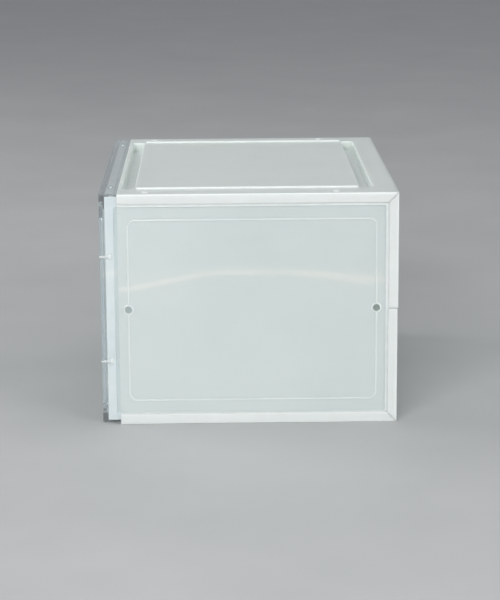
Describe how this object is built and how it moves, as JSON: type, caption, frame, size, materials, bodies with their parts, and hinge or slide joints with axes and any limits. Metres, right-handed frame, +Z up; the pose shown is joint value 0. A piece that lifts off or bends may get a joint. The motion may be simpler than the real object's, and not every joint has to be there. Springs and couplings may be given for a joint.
{
  "type": "stackable shoe box",
  "caption": "Stackable milky plastic shoe box lying on its long side, with a clear front frame, a clear drop-front door on magnets, and a back that unfolds in halves.",
  "frame": {"origin": "on the floor under the middle of the box", "axes": "+Z up, -Y out of the door, +X to the right for someone facing the door"},
  "size_m": [0.36, 0.2816, 0.2233],
  "materials": {
    "milky_shell": "milky translucent polypropylene, satin, bands and back",
    "milky_panel": "milky translucent polypropylene sheet, glossy",
    "clear_frame": "clear polystyrene, polished",
    "clear_door": "clear polystyrene, polished",
    "pin_steel": "drawn stainless pin",
    "magnet_plating": "nickel plating"
  },
  "bodies": {
    "shell": {"top_panel": "milky_shell", "bottom_panel": "milky_shell", "side_panel_left": "milky_panel", "side_panel_right": "milky_panel", "front_frame": "clear_frame", "hinge_pin_left": "pin_steel", "hinge_pin_right": "pin_steel", "frame_magnet_left": "magnet_plating", "frame_magnet_right": "magnet_plating"},
    "door": {"door": "clear_door", "door_magnet_left": "magnet_plating", "door_magnet_right": "magnet_plating"},
    "upper_flap": {"back_upper_flap": "milky_shell"},
    "lower_flap": {"back_lower_flap": "milky_shell"}
  },
  "joints": [
    {"name": "door_hinge", "type": "hinge", "parent": "shell", "child": "door", "pos_m": [0, -0.13595, 0.0186], "axis": [1, 0, 0], "range_deg": [0, 90]},
    {"name": "upper_flap_hinge", "type": "hinge", "parent": "shell", "child": "upper_flap", "pos_m": [0, 0.14075, 0.2215], "axis": [1, 0, 0], "range_deg": [0, 90]},
    {"name": "lower_flap_hinge", "type": "hinge", "parent": "shell", "child": "lower_flap", "pos_m": [0, 0.14015, 0], "axis": [-1, 0, 0], "range_deg": [0, 90]}
  ]
}
